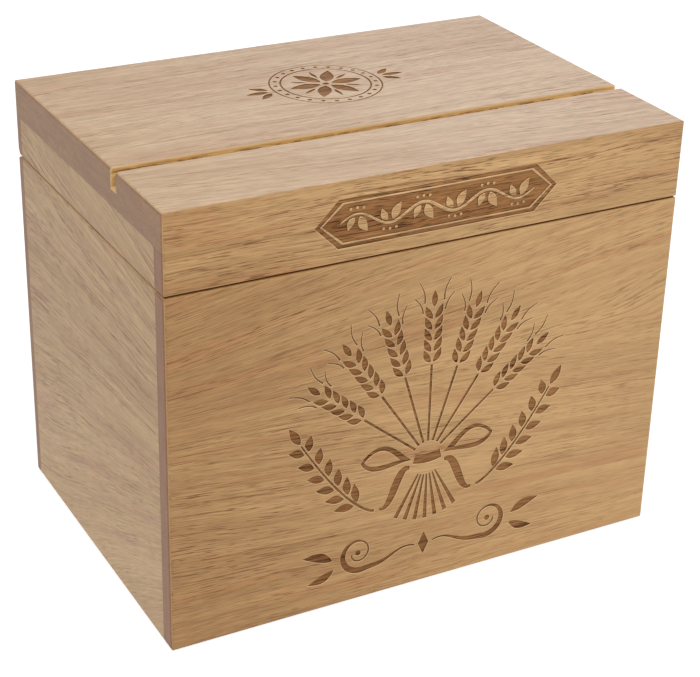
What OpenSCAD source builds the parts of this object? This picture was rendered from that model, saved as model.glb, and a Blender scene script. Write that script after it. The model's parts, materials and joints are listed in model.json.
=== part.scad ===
// Recipe card box: six solid boards glued up as one closed box, sawn apart and hinged at the back.
// Millimetres, +Z up. The origin is on the underside, in the middle of the footprint.
// The front board faces -Y and the hinges are at the back, on +Y.

/* [Box] */
// Width from left to right
box_w = 184; // [150:1:260]
// Depth from front to back
box_d = 127; // [90:1:200]
// Height of the closed box
box_h = 152; // [110:1:220]
// Thickness of the four wall boards
wall_t = 10; // [9.5:0.5:14]

/* [Lid] */
// Height of the lid, from the seam to the top
lid_h = 26.4; // [23:0.2:40]
// Thickness of the lid's top board
top_t = 12.5; // [10:0.5:14]
// Gap left at the seam by the saw and the hinges
seam_gap = 0.4; // [0.3:0.05:0.8]

/* [Corner joints] */
// Thickness of the front board's lip, which shows as end grain on the sides
front_lip = 6.4; // [4:0.2:7.6]
// Thickness of the back board's lip
back_lip = 4.6; // [4:0.2:7.6]

/* [Card slot] */
// Width of the saw-cut slot that holds a card upright
slot_w = 4.5; // [2:0.1:8]
// Depth of the slot
slot_deep = 7; // [3:0.5:8]
// Distance from the front face to the middle of the slot
slot_back = 37; // [15:1:60]

/* [Bottom panel] */
// Thickness of the bottom panel
panel_t = 5; // [3:0.5:8]
// Height of the panel's underside above the table
panel_rise = 6; // [3:0.5:15]
// Depth of the groove that holds the panel
groove_deep = 3.4; // [2:0.1:5]
// Play left round the panel's edge for the wood to swell
panel_play = 0.2; // [0.1:0.05:0.6]

/* [Eased edges] */
// Radius of the upright edges and of the lid's top edges
edge_r = 1.2; // [0.5:0.1:2.5]
// Radius of the edges that the box stands on
foot_r = 1.6; // [0.5:0.1:2.5]
// Radius of the upper edges of the lower part, at the seam
mouth_r = 1.2; // [0.4:0.1:2]
// Radius of the lower edges of the lid, at the seam
lid_edge_r = 0.6; // [0.3:0.1:2]

/* [Hinges] */
// Length of each butt hinge
hinge_len = 25; // [20:1:40]
// Distance from the side of the box to the outer end of a hinge
hinge_inset = 30; // [20:1:45]
// Number of knuckles along a hinge
knuckles = 5; // [3:2:7]
// Outer diameter of the knuckles
barrel_d = 3.8; // [3:0.1:4]
// Distance from the back face to the middle of the pin
axis_in = 2.2; // [2.1:0.1:2.6]
// Reach of a leaf from the middle of the pin
leaf_reach = 6.4; // [5.6:0.1:6.6]
// Thickness of a leaf
leaf_t = 0.9; // [0.6:0.1:1.2]
// Diameter of the hinge pin
pin_d = 1.5; // [1:0.1:2]
// Gap round the pin in its knuckles
pin_fit = 0.05; // [0.02:0.01:0.08]
// Gap between neighbouring knuckles
knuckle_gap = 0.2; // [0.1:0.05:0.4]
// Gap round a leaf in its mortise
mortise_fit = 0.1; // [0.05:0.05:0.2]
// Gap round the knuckles in the cove that clears them
cove_fit = 0.35; // [0.2:0.05:0.5]
// Opening at which the two bevelled back edges meet
stop_angle = 95; // [90:1:110]
// Part of that angle that is cut from the lower part, below the seam
box_bevel = 33; // [20:1:60]
// Gap that is left between the bevels at that opening
bevel_gap = 0.3; // [0.2:0.05:0.6]

/* [Screws] */
// Diameter of a screw's countersunk head
head_d = 3; // [2.4:0.1:3.4]
// Diameter of a screw's shank
shank_d = 1.6; // [1.2:0.1:2]
// Length of a screw
screw_len = 8; // [5:0.5:9]
// Distance from a hinge's end to the screw near it
screw_in = 5; // [3:0.5:7]
// Gap round a screw in its hole and its countersink
screw_fit = 0.05; // [0.02:0.01:0.1]
// Width of the cross cut in a screw's head
drive_w = 0.45; // [0.3:0.05:0.6]
// Depth of that cross cut
drive_deep = 0.5; // [0.3:0.05:0.6]

/* [Hidden] */
$fn = 64;

// How far a cutting tool runs past the wood that it cuts
spare = 5;

// Levels of the seam: the middle of the pin lies halfway up the gap
mouth_z = box_h - lid_h - seam_gap;
lid_z = box_h - lid_h;
axis_z = mouth_z + seam_gap / 2;
rail_top_z = box_h - top_t;

// Places of the outer faces and of the pin
front_y = -box_d / 2;
back_y = box_d / 2;
axis_y = back_y - axis_in;
inner_w = box_w - 2 * wall_t;

// Each hinge's middle, left and right
hinge_x = box_w / 2 - hinge_inset - hinge_len / 2;

// Each bevel passes the pin's axis at half the gap, so that the gap is left when they meet
lid_bevel = stop_angle - box_bevel;
bevel_in = bevel_gap / 2 * (cos(lid_bevel) + cos(box_bevel)) / sin(stop_angle);
bevel_y = axis_y - bevel_in;
bevel_z = axis_z + (bevel_in * sin(box_bevel) - bevel_gap / 2) / cos(box_bevel);

barrel_r = barrel_d / 2;
pin_r = pin_d / 2;
bore_r = pin_r + pin_fit;
knuckle_len = (hinge_len - (knuckles - 1) * knuckle_gap) / knuckles;

head_r = head_d / 2;
shank_r = shank_d / 2;
head_h = head_r - shank_r;
screw_x = hinge_len / 2 - screw_in;
screw_y = axis_y - (barrel_r + leaf_reach) / 2;
pin_ease = 0.25;

wood = [0.78, 0.61, 0.43];
end_wood = [0.72, 0.58, 0.45];
top_wood = [0.82, 0.68, 0.54];
panel_wood = [0.84, 0.71, 0.54];
brass = [0.80, 0.64, 0.30];
screw_brass = [0.74, 0.58, 0.28];

// What a rounding cutter takes off a corner at the origin that points to +x and +y, then turned
module corner_waste(r, turn) {
    rotate(turn)
        translate([-r, -r])
            difference() {
                square(r + spare);
                circle(r);
            }
}

// Rectangle standing on the x axis with its two lower and two upper corners rounded
module eased_rect(w, h, r_low, r_high) {
    difference() {
        translate([-w / 2, 0]) square([w, h]);
        translate([w / 2, h]) corner_waste(r_high, 0);
        translate([-w / 2, h]) corner_waste(r_high, 90);
        translate([-w / 2, 0]) corner_waste(r_low, 180);
        translate([w / 2, 0]) corner_waste(r_low, 270);
    }
}

// Outer shape of the lid or of the lower part, with every outer edge rounded
module eased_block(z, h, r_low, r_high) {
    translate([0, 0, z])
        intersection() {
            translate([0, front_y, 0])
                linear_extrude(h) eased_rect(box_w, box_d, edge_r, edge_r);
            translate([0, back_y, 0])
                rotate([90, 0, 0])
                    linear_extrude(box_d) eased_rect(box_w, h, r_low, r_high);
            translate([-box_w / 2, 0, 0])
                rotate([90, 0, 90])
                    linear_extrude(box_w) eased_rect(box_d, h, r_low, r_high);
        }
}

// V groove along the back of the seam: its faces meet when the lid stands at stop_angle
module bevel_groove() {
    run = back_y + spare - bevel_y;
    translate([-box_w / 2 - spare, bevel_y, bevel_z])
        rotate([90, 0, 90])
            linear_extrude(box_w + 2 * spare)
                polygon([[0, 0], [run, run * tan(lid_bevel)], [run, -run * tan(box_bevel)]]);
}

// The lid's outer shape, ready to be divided into its boards
module lid_shape() {
    difference() {
        eased_block(lid_z, lid_h, lid_edge_r, edge_r);
        bevel_groove();
    }
}

// The lower part's outer shape
module box_shape() {
    difference() {
        eased_block(0, mouth_z, foot_r, mouth_r);
        bevel_groove();
    }
}

// Room that a front board takes: full width, with a rabbet at each end that leaves the lip
module front_room() {
    difference() {
        translate([-box_w, front_y - spare, -spare])
            cube([2 * box_w, wall_t + spare, box_h + 2 * spare]);
        for (side = [-1, 1])
            translate([side * (box_w + inner_w) / 2, front_y + front_lip + box_d / 2, box_h / 2])
                cube([box_w, box_d, 2 * box_h], center = true);
    }
}

// Room that a back board takes
module back_room() {
    difference() {
        translate([-box_w, back_y - wall_t, -spare])
            cube([2 * box_w, wall_t + spare, box_h + 2 * spare]);
        for (side = [-1, 1])
            translate([side * (box_w + inner_w) / 2, back_y - back_lip - box_d / 2, box_h / 2])
                cube([box_w, box_d, 2 * box_h], center = true);
    }
}

// Room that a side board takes, between the two lips
module side_room(side) {
    translate([side > 0 ? inner_w / 2 : -box_w, front_y + front_lip, -spare])
        cube([box_w - inner_w / 2, box_d - front_lip - back_lip, box_h + 2 * spare]);
}

// Room that the lid's four rails share, below the top board
module rail_room() {
    translate([-box_w, -box_d, lid_z - spare])
        cube([2 * box_w, 2 * box_d, rail_top_z - lid_z + spare]);
}

// Bottom panel, or the groove round it when it is grown by the groove's play
module panel_shape(play) {
    reach = groove_deep - panel_play + play;
    w = inner_w + 2 * reach;
    d = box_d - 2 * wall_t + 2 * reach;
    translate([-w / 2, -d / 2, panel_rise])
        cube([w, d, panel_t + play / 2]);
}

// Hole for a screw in a leaf or in the wood, from the seam along +Z
module screw_hole() {
    translate([0, 0, -spare])
        cylinder(r = head_r + screw_fit, h = spare);
    cylinder(r1 = head_r + screw_fit, r2 = shank_r + screw_fit, h = head_h);
    cylinder(r = shank_r + screw_fit, h = screw_len + 4 * screw_fit);
}

// Countersunk screw with a cross cut, its head at the seam and its tip along +Z
module screw() {
    difference() {
        rotate_extrude()
            polygon([
                [0, screw_fit], [head_r, screw_fit], [shank_r, head_h + screw_fit],
                [shank_r, screw_len - 2 * shank_r], [0, screw_len]
            ]);
        for (turn = [0, 90])
            rotate(turn)
                translate([-head_r * 0.7, -drive_w / 2, -spare])
                    cube([head_r * 1.4, drive_w, drive_deep + screw_fit + spare]);
    }
}

// Puts a shape at both screws of one hinge's leaf: up = 1 in the lid, -1 in the lower part
module at_screws(up) {
    for (along = [-1, 1])
        translate([along * screw_x, screw_y, axis_z + up * seam_gap / 2])
            mirror([0, 0, up > 0 ? 0 : 1])
                children();
}

// Mortise for one leaf, with the cove for the knuckles and the screws' pilot holes
module leaf_mortise(up) {
    room = hinge_len + 2 * mortise_fit;
    translate([-room / 2, axis_y - leaf_reach - mortise_fit, up > 0 ? axis_z - spare : axis_z])
        mirror([0, 0, up > 0 ? 0 : 1])
            translate([0, 0, up > 0 ? 0 : -spare])
                cube([room, leaf_reach + mortise_fit + spare, spare + seam_gap / 2 + leaf_t + mortise_fit / 2]);
    translate([-room / 2, axis_y, axis_z])
        rotate([0, 90, 0])
            cylinder(r = barrel_r + cove_fit, h = room);
    at_screws(up) screw_hole();
}

// Knuckles number first, first + 2 and so on, swollen by grow
module knuckle_row(first, grow) {
    for (i = [first : 2 : knuckles - 1])
        translate([-hinge_len / 2 + i * (knuckle_len + knuckle_gap) - grow, axis_y, axis_z])
            rotate([0, 90, 0])
                cylinder(r = barrel_r + grow, h = knuckle_len + 2 * grow);
}

// One leaf of a hinge: a plate with its knuckles rolled round the pin
module leaf(up, first) {
    difference() {
        union() {
            difference() {
                translate([-hinge_len / 2, axis_y - leaf_reach, up > 0 ? lid_z : mouth_z - leaf_t])
                    cube([hinge_len, leaf_reach, leaf_t]);
                knuckle_row(1 - first, knuckle_gap);
            }
            knuckle_row(first, 0);
        }
        translate([-hinge_len, axis_y, axis_z])
            rotate([0, 90, 0])
                cylinder(r = bore_r, h = 2 * hinge_len);
        at_screws(up) screw_hole();
    }
}

// Hinge pin with eased ends
module pin() {
    translate([-hinge_len / 2, axis_y, axis_z])
        rotate([0, 90, 0])
            rotate_extrude()
                polygon([
                    [0, 0], [pin_r - pin_ease, 0], [pin_r, pin_ease],
                    [pin_r, hinge_len - pin_ease], [pin_r - pin_ease, hinge_len], [0, hinge_len]
                ]);
}

// Moves a shape from the middle of the back to the left (-1) or right (1) hinge
module at_hinge(side) {
    translate([side * hinge_x, 0, 0]) children();
}

module lid_top() {
    color(top_wood)
        difference() {
            intersection() {
                lid_shape();
                translate([-box_w, -box_d, rail_top_z])
                    cube([2 * box_w, 2 * box_d, top_t + spare]);
            }
            translate([-box_w, front_y + slot_back - slot_w / 2, box_h - slot_deep])
                cube([2 * box_w, slot_w, slot_deep + spare]);
        }
}

module lid_front() {
    color(wood)
        intersection() {
            lid_shape();
            front_room();
            rail_room();
        }
}

module lid_back() {
    color(wood)
        difference() {
            intersection() {
                lid_shape();
                back_room();
                rail_room();
            }
            for (side = [-1, 1]) at_hinge(side) leaf_mortise(1);
        }
}

module lid_side(side) {
    color(end_wood)
        intersection() {
            lid_shape();
            side_room(side);
            rail_room();
        }
}

module box_front() {
    color(wood)
        difference() {
            intersection() {
                box_shape();
                front_room();
            }
            panel_shape(panel_play);
        }
}

module box_back() {
    color(wood)
        difference() {
            intersection() {
                box_shape();
                back_room();
            }
            panel_shape(panel_play);
            for (side = [-1, 1]) at_hinge(side) leaf_mortise(-1);
        }
}

// The groove runs out at both ends of a side board, inside the corner joints
module box_side(side) {
    color(end_wood)
        difference() {
            intersection() {
                box_shape();
                side_room(side);
            }
            panel_shape(panel_play);
        }
}

module bottom_panel() {
    color(panel_wood) panel_shape(0);
}

module hinge_lid_leaf(side) {
    color(brass) at_hinge(side) leaf(1, 1);
}

module hinge_box_leaf(side) {
    color(brass) at_hinge(side) leaf(-1, 0);
}

module hinge_pin(side) {
    color(screw_brass) at_hinge(side) pin();
}

module hinge_screws(side, up) {
    color(screw_brass) at_hinge(side) at_screws(up) screw();
}

lid_top();
lid_front();
lid_back();
lid_side(-1);  // lid_left
lid_side(1);  // lid_right
box_front();
box_back();
box_side(-1);  // box_left
box_side(1);  // box_right
bottom_panel();
hinge_lid_leaf(-1);  // left_hinge_lid_leaf
hinge_box_leaf(-1);  // left_hinge_box_leaf
hinge_pin(-1);  // left_hinge_pin
hinge_lid_leaf(1);  // right_hinge_lid_leaf
hinge_box_leaf(1);  // right_hinge_box_leaf
hinge_pin(1);  // right_hinge_pin
hinge_screws(-1, 1);  // left_lid_screws
hinge_screws(-1, -1);  // left_box_screws
hinge_screws(1, 1);  // right_lid_screws
hinge_screws(1, -1);  // right_box_screws
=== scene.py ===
import json
import math

import bmesh
import bpy
from mathutils import Matrix, Vector

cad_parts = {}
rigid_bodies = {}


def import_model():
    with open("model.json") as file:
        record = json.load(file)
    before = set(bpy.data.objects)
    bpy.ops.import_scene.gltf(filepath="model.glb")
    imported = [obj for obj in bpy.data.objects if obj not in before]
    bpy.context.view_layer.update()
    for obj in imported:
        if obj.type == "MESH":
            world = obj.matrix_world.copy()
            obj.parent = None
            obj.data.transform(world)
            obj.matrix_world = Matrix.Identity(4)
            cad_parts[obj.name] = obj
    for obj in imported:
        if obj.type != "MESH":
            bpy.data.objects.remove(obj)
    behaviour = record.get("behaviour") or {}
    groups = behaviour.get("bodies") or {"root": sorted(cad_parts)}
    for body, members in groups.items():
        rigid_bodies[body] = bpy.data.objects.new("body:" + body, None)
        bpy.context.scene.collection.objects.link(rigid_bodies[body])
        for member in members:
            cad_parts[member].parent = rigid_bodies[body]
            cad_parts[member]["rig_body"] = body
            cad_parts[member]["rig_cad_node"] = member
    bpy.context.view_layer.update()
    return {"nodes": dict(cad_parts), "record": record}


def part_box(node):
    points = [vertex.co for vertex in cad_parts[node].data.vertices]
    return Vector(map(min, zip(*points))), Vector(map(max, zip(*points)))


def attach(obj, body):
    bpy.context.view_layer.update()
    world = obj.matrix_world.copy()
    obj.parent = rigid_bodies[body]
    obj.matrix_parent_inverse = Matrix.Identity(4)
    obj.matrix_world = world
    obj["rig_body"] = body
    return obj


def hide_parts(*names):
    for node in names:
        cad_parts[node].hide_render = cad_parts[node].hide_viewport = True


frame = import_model()
nodes = frame["nodes"]
mm = 0.001
print("loaded", len(nodes), "nodes")

# where the boards, the seam and the card slot are
frontLow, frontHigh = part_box("box_front")
frontY = frontLow.y
boxWidth = frontHigh.x - frontLow.x
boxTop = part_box("lid_top")[1].z
seamHeight = (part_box("lid_front")[0].z + frontHigh.z) / 2
openings = {o["name"]: o["box_m"] for o in frame["record"]["physics"]["openings"]}
slotLow, slotHigh = openings["card_slot"]
slotDepth = (boxTop - slotLow[2]) / mm


# camera: fitted to the edges of the box in the picture, no lens shift
cameraSetup = {
    "place": (-0.2757, -0.5114, 0.3578),
    "azimuth": 28.73,  # degrees, looking along +Y and turned to the right
    "elevation": 26.86,  # degrees, looking down from the horizon
    "roll": 1.51,  # degrees
    "lens": 95.15,  # in millimetres, as the sensor's width
    "sensor": 36,
    "clipStart": 0.01,
}


def addCamera(setup):
    turn = math.radians(setup["azimuth"])
    drop = math.radians(setup["elevation"])
    roll = math.radians(setup["roll"])
    ahead = Vector((math.sin(turn) * math.cos(drop), math.cos(turn) * math.cos(drop), -math.sin(drop)))
    right = ahead.cross(Vector((0, 0, 1))).normalized()
    up = right.cross(ahead)
    rolledRight = right * math.cos(roll) + up * math.sin(roll)
    rolledUp = up * math.cos(roll) - right * math.sin(roll)
    data = bpy.data.cameras.new("pictureCamera")
    data.lens = setup["lens"]
    data.sensor_width = setup["sensor"]
    data.clip_start = setup["clipStart"]
    camera = bpy.data.objects.new("pictureCamera", data)
    axes = Matrix((rolledRight, rolledUp, -ahead)).transposed().to_4x4()
    camera.matrix_world = Matrix.Translation(setup["place"]) @ axes
    bpy.context.scene.collection.objects.link(camera)
    bpy.context.scene.camera = camera


# small helpers for node trees
def put(tree, kind, inputs=None, **settings):
    node = tree.nodes.new("ShaderNode" + kind)
    for name, value in settings.items():
        setattr(node, name, value)
    for name, value in (inputs or {}).items():
        feed(tree, node.inputs[name], value)
    return node


def feed(tree, socket, value):
    if isinstance(value, bpy.types.NodeSocket):
        tree.links.new(value, socket)
    elif value is not None:
        socket.default_value = value


def calc(tree, operation, a, b=None, c=None, clamp=False):
    node = put(tree, "Math", {0: a, 1: b, 2: c}, operation=operation, use_clamp=clamp)
    return node.outputs[0]


def times(tree, a, b):
    return calc(tree, "MULTIPLY", a, b)


def minus(tree, a, b):
    return calc(tree, "SUBTRACT", a, b)


def timesPlus(tree, a, b, c, clamp=False):
    return calc(tree, "MULTIPLY_ADD", a, b, c, clamp)


def positive(tree, value):
    return calc(tree, "ABSOLUTE", value)


def larger(tree, a, b):
    return calc(tree, "MAXIMUM", a, b)


def between(tree, factor, first, last):
    return timesPlus(tree, factor, last - first, first)


def ramp(tree, value, start, end, low=0.0, high=1.0):
    inputs = {"Value": value, "From Min": start, "From Max": end, "To Min": low, "To Max": high}
    node = put(tree, "MapRange", inputs, interpolation_type="SMOOTHSTEP")
    return node.outputs["Result"]


def blend(tree, factor, a, b):
    node = put(tree, "Mix", data_type="RGBA", clamp_factor=True)
    feed(tree, node.inputs[0], factor)
    feed(tree, node.inputs[6], a)
    feed(tree, node.inputs[7], b)
    return node.outputs[2]


def mixed(tree, factor, a, b):
    node = put(tree, "Mix", data_type="FLOAT", clamp_factor=True)
    feed(tree, node.inputs[0], factor)
    feed(tree, node.inputs[2], a)
    feed(tree, node.inputs[3], b)
    return node.outputs[0]


def vectors(tree, operation, a, b):
    return put(tree, "VectorMath", {0: a, 1: b}, operation=operation).outputs


def scaled(tree, vector, factor):
    return put(tree, "VectorMath", {0: vector, "Scale": factor}, operation="SCALE").outputs[0]


def apart(tree, vector):
    return put(tree, "SeparateXYZ", {0: vector}).outputs


def stretched(tree, vector, along, across, through=None):
    # coordinates counted in cells of the given size, in millimetres
    return vectors(tree, "MULTIPLY", vector, (1 / along, 1 / across, 1 / (through or across)))[0]


def rawMark(tree, vector, mark):
    detail, roughness = mark["noise"]
    laid = stretched(tree, vector, *mark["cell"])
    inputs = {"Vector": laid, "Scale": 1.0, "Detail": detail, "Roughness": roughness}
    return put(tree, "TexNoise", inputs).outputs[0]


def shadeMark(tree, value, mark):
    return ramp(tree, value, *mark["shows"], mark.get("low", 0.0))


def bumped(tree, shader, height, relief):
    bump = put(tree, "Bump", {"Height": height, **relief})
    feed(tree, shader.inputs["Normal"], bump.outputs[0])


def newGroup(name, inputs, outputs):
    tree = bpy.data.node_groups.new(name, "ShaderNodeTree")
    for title, kind, value in inputs:
        socket = tree.interface.new_socket(title, in_out="INPUT", socket_type="NodeSocket" + kind)
        if value is not None:
            socket.default_value = value
    for title, kind in outputs:
        tree.interface.new_socket(title, in_out="OUTPUT", socket_type="NodeSocket" + kind)
    return tree, tree.nodes.new("NodeGroupInput").outputs, tree.nodes.new("NodeGroupOutput").inputs


def place(tree, group, values):
    node = tree.nodes.new("ShaderNodeGroup")
    node.node_tree = group
    for name, value in values.items():
        feed(tree, node.inputs[name], value)
    return node.outputs


def colour(red, green, blue):
    # a colour as it reads in the picture, 0 to 255, turned into the linear value that Blender wants
    def linear(part):
        part = part / 255
        return part / 12.92 if part <= 0.04045 else ((part + 0.055) / 1.055) ** 2.4

    return (linear(red), linear(green), linear(blue), 1.0)


# where a point lies in its board: along the grain, across it and through the thickness, in millimetres
boardField = {
    "seedStep": (173.0, 91.0, 57.0),  # how far the noise moves from one seed to the next
    "edge": (0.5, 0.9),  # how squarely a narrow face looks across the board
    "tiltSetsIn": 70.0,  # the height over which the tilt grows
    "slowSway": {"cell": (95.0, 34.0), "noise": (1.0, 0.5), "share": 2.0},
    "quickSway": {"cell": (21.0, 7.0), "noise": (1.0, 0.5), "share": 0.16},
    "endFace": (0.55, 0.85),
    "upFace": (0.5, 0.98),
    "drift": (-95.0, 40.0),  # along the board
    "rise": (0.0, 115.0),  # across the board
}


def buildBoardSpace(field):
    tree, given, result = newGroup(
        "boardSpace",
        [
            ("Along", "Vector", (1, 0, 0)),
            ("Across", "Vector", (0, 0, 1)),
            ("Through", "Vector", (0, 1, 0)),
            ("Seed", "Float", 0.0),
            ("Tilt Low", "Float", 0.0),
            ("Tilt High", "Float", 0.0),
            ("Tilt From", "Float", 0.0),
            ("Tilt To", "Float", 100.0),
            ("Level Below", "Float", -1000.0),
            ("Fan", "Float", 0.0),
            ("Fan Centre", "Float", 0.0),
            ("Wander", "Float", 3.0),
        ],
        [
            ("Grain", "Vector"),
            ("End Face", "Float"),
            ("Up Face", "Float"),
            ("Drift", "Float"),
            ("Rise", "Float"),
        ],
    )
    where = put(tree, "TexCoord").outputs
    point = scaled(tree, where["Object"], 1 / mm)

    def along(vector, axis):
        return vectors(tree, "DOT_PRODUCT", vector, axis)["Value"]

    u = along(point, given["Along"])
    v = along(point, given["Across"])
    w = along(point, given["Through"])
    # on the narrow faces the lines run straight on and don't dive into the wood
    onEdge = ramp(tree, positive(tree, along(where["Normal"], given["Across"])), *field["edge"])
    onFace = minus(tree, 1.0, onEdge)
    # the grain lines tilt by one slope low down and by another higher up, and may spread from one end
    slope = ramp(tree, v, given["Tilt From"], given["Tilt To"], given["Tilt Low"], given["Tilt High"])
    fade = ramp(tree, minus(tree, v, given["Level Below"]), 0.0, field["tiltSetsIn"])
    dip = times(tree, times(tree, slope, fade), times(tree, u, onFace))
    fromCentre = minus(tree, v, given["Fan Centre"])
    spread = timesPlus(tree, u, times(tree, given["Fan"], onFace), 1.0)
    fanned = calc(tree, "DIVIDE", minus(tree, fromCentre, dip), spread)
    # and they wander a little, slowly over the board and more quickly by less
    flat = put(tree, "CombineXYZ", {0: u, 1: v, 2: w}).outputs[0]
    shift = scaled(tree, field["seedStep"], given["Seed"])
    seeded = vectors(tree, "ADD", flat, shift)[0]

    def swayOf(mark):
        wave = minus(tree, rawMark(tree, seeded, mark), 0.5)
        return times(tree, wave, times(tree, given["Wander"], mark["share"]))

    sway = calc(tree, "ADD", swayOf(field["slowSway"]), swayOf(field["quickSway"]))
    across = timesPlus(tree, sway, onFace, fanned)
    through = timesPlus(tree, sway, onEdge, w)
    grain = put(tree, "CombineXYZ", {0: u, 1: across, 2: through}).outputs[0]
    feed(tree, result["Grain"], vectors(tree, "ADD", grain, shift)[0])
    facing = positive(tree, along(where["Normal"], given["Along"]))
    feed(tree, result["End Face"], ramp(tree, facing, *field["endFace"]))
    feed(tree, result["Up Face"], ramp(tree, along(where["Normal"], (0, 0, 1)), *field["upFace"]))
    feed(tree, result["Drift"], ramp(tree, u, *field["drift"]))
    feed(tree, result["Rise"], ramp(tree, v, *field["rise"]))
    return tree


# rubberwood: soft growth bands, long brown streaks, short dark pores and fine fibre
# cell: the size along and across the grain in millimetres; noise: its detail and roughness;
# shows: the part of the noise that is used; specks and rings are seen on end grain
woodMarks = {
    "broad": {"cell": (150.0, 42.0), "noise": (2.0, 0.5), "shows": (0.36, 0.64), "share": 0.35},
    "bands": {"cell": (110.0, 5.2), "noise": (3.0, 0.6), "shows": (0.36, 0.64), "share": 0.37},
    "lines": {"cell": (75.0, 1.4), "noise": (3.0, 0.6), "shows": (0.36, 0.64), "share": 0.28},
    "flushes": {"cell": (85.0, 7.0), "noise": (3.0, 0.6), "shows": (0.50, 0.68)},
    "gathering": {"cell": (80.0, 6.0), "noise": (2.0, 0.5), "shows": (0.38, 0.62), "low": 0.45},
    "longStreaks": {"cell": (50.0, 0.66), "noise": (2.0, 0.6), "shows": (0.54, 0.67), "share": 0.46},
    "shortStreaks": {"cell": (10.0, 0.40), "noise": (2.0, 0.6), "shows": (0.56, 0.65), "share": 0.68},
    "fibre": {"cell": (9.0, 0.27), "noise": (2.0, 0.7), "shows": (0.38, 0.62), "low": -1.0},
    "specks": {"cell": (70.0, 0.7), "noise": (3.0, 0.7), "shows": (0.36, 0.64), "low": -1.0, "share": 0.11},
    "rings": {
        "cell": (70.0, 13.0, 1.9),
        "noise": (3.0, 0.6),
        "shows": (0.36, 0.64),
        "low": -1.0,
        "share": 0.08,
    },
    "pores": {"cell": (7.5, 0.55), "dash": (0.10, 0.32), "chosen": (0.35, 0.75)},
}
woodSurface = {
    "marksOnEnds": 0.20,  # how much of the streaks and pores is left on end grain
    "boardInEnds": 0.10,  # how much of the board's tone shows in end grain
    "fibreLight": 0.14,
    "roughness": 0.42,
    "roughMarks": 0.16,
    "roughFibre": 0.10,
    "fibreHeight": 0.35,
}


def buildRubberwood(marks, surface):
    tree, given, result = newGroup(
        "rubberwood",
        [
            ("Grain", "Vector", None),
            ("End Face", "Float", 0.0),
            ("Darkening", "Float", 0.0),
            ("Pale", "Color", colour(200, 160, 112)),
            ("Deep", "Color", colour(170, 130, 88)),
            ("Streak Colour", "Color", colour(128, 88, 52)),
            ("Flush Colour", "Color", colour(178, 124, 80)),
            ("End Colour", "Color", colour(150, 121, 100)),
            ("Bands", "Float", 1.0),
            ("Flush", "Float", 0.45),
            ("Streaks", "Float", 0.8),
            ("Pores", "Float", 0.8),
            ("Fibre", "Float", 1.0),
        ],
        [("Color", "Color"), ("Roughness", "Float"), ("Height", "Float")],
    )
    grain = given["Grain"]

    def shaded(kind):
        return shadeMark(tree, rawMark(tree, grain, marks[kind]), marks[kind])

    def together(kinds, total):
        for kind in kinds:
            total = timesPlus(tree, shaded(kind), marks[kind]["share"], total)
        return total

    toned = together(("bands", "broad", "lines"), 0.0)
    toned = timesPlus(tree, toned, given["Bands"], given["Darkening"], clamp=True)
    base = blend(tree, toned, given["Pale"], given["Deep"])
    # here and there a band is flushed with a redder brown
    base = blend(tree, times(tree, shaded("flushes"), given["Flush"]), base, given["Flush Colour"])
    # streaks gather in some of the bands
    gather = shaded("gathering")
    streaks = together(("shortStreaks", "longStreaks"), 0.0)
    streaks = times(tree, times(tree, streaks, gather), given["Streaks"])
    # pores: one tapered dash in each cell, and many cells stay empty
    pore = marks["pores"]
    laid = stretched(tree, grain, *pore["cell"])
    cells = put(tree, "TexVoronoi", {"Vector": laid, "Scale": 1.0}, feature="F1")
    pick = put(tree, "SeparateColor", {0: cells.outputs["Color"]}).outputs[0]
    dash = ramp(tree, cells.outputs["Distance"], *pore["dash"], 1.0, 0.0)
    chosen = ramp(tree, pick, *pore["chosen"])
    pores = times(tree, times(tree, dash, chosen), times(tree, gather, given["Pores"]))
    longFace = minus(tree, 1.0, given["End Face"])
    kept = timesPlus(tree, longFace, 1 - surface["marksOnEnds"], surface["marksOnEnds"])
    brown = calc(tree, "MULTIPLY", larger(tree, streaks, pores), kept, clamp=True)
    # end grain drinks more lacquer, so it is darker, with curved rings and open pores
    endLight = together(("specks", "rings"), 1.0)
    ends = blend(tree, surface["boardInEnds"], given["End Colour"], base)
    faced = blend(tree, given["End Face"], base, scaled(tree, ends, endLight))
    marked = blend(tree, brown, faced, given["Streak Colour"])
    fibre = rawMark(tree, grain, marks["fibre"])
    fibreShade = times(tree, shadeMark(tree, fibre, marks["fibre"]), given["Fibre"])
    light = timesPlus(tree, fibreShade, surface["fibreLight"], 1.0)
    feed(tree, result["Color"], scaled(tree, marked, light))
    rough = timesPlus(tree, brown, surface["roughMarks"], surface["roughness"])
    feed(tree, result["Roughness"], timesPlus(tree, fibre, surface["roughFibre"], rough))
    feed(tree, result["Height"], minus(tree, times(tree, fibre, surface["fibreHeight"]), brown))
    return tree


boardSpace = buildBoardSpace(boardField)
rubberwood = buildRubberwood(woodMarks, woodSurface)


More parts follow.
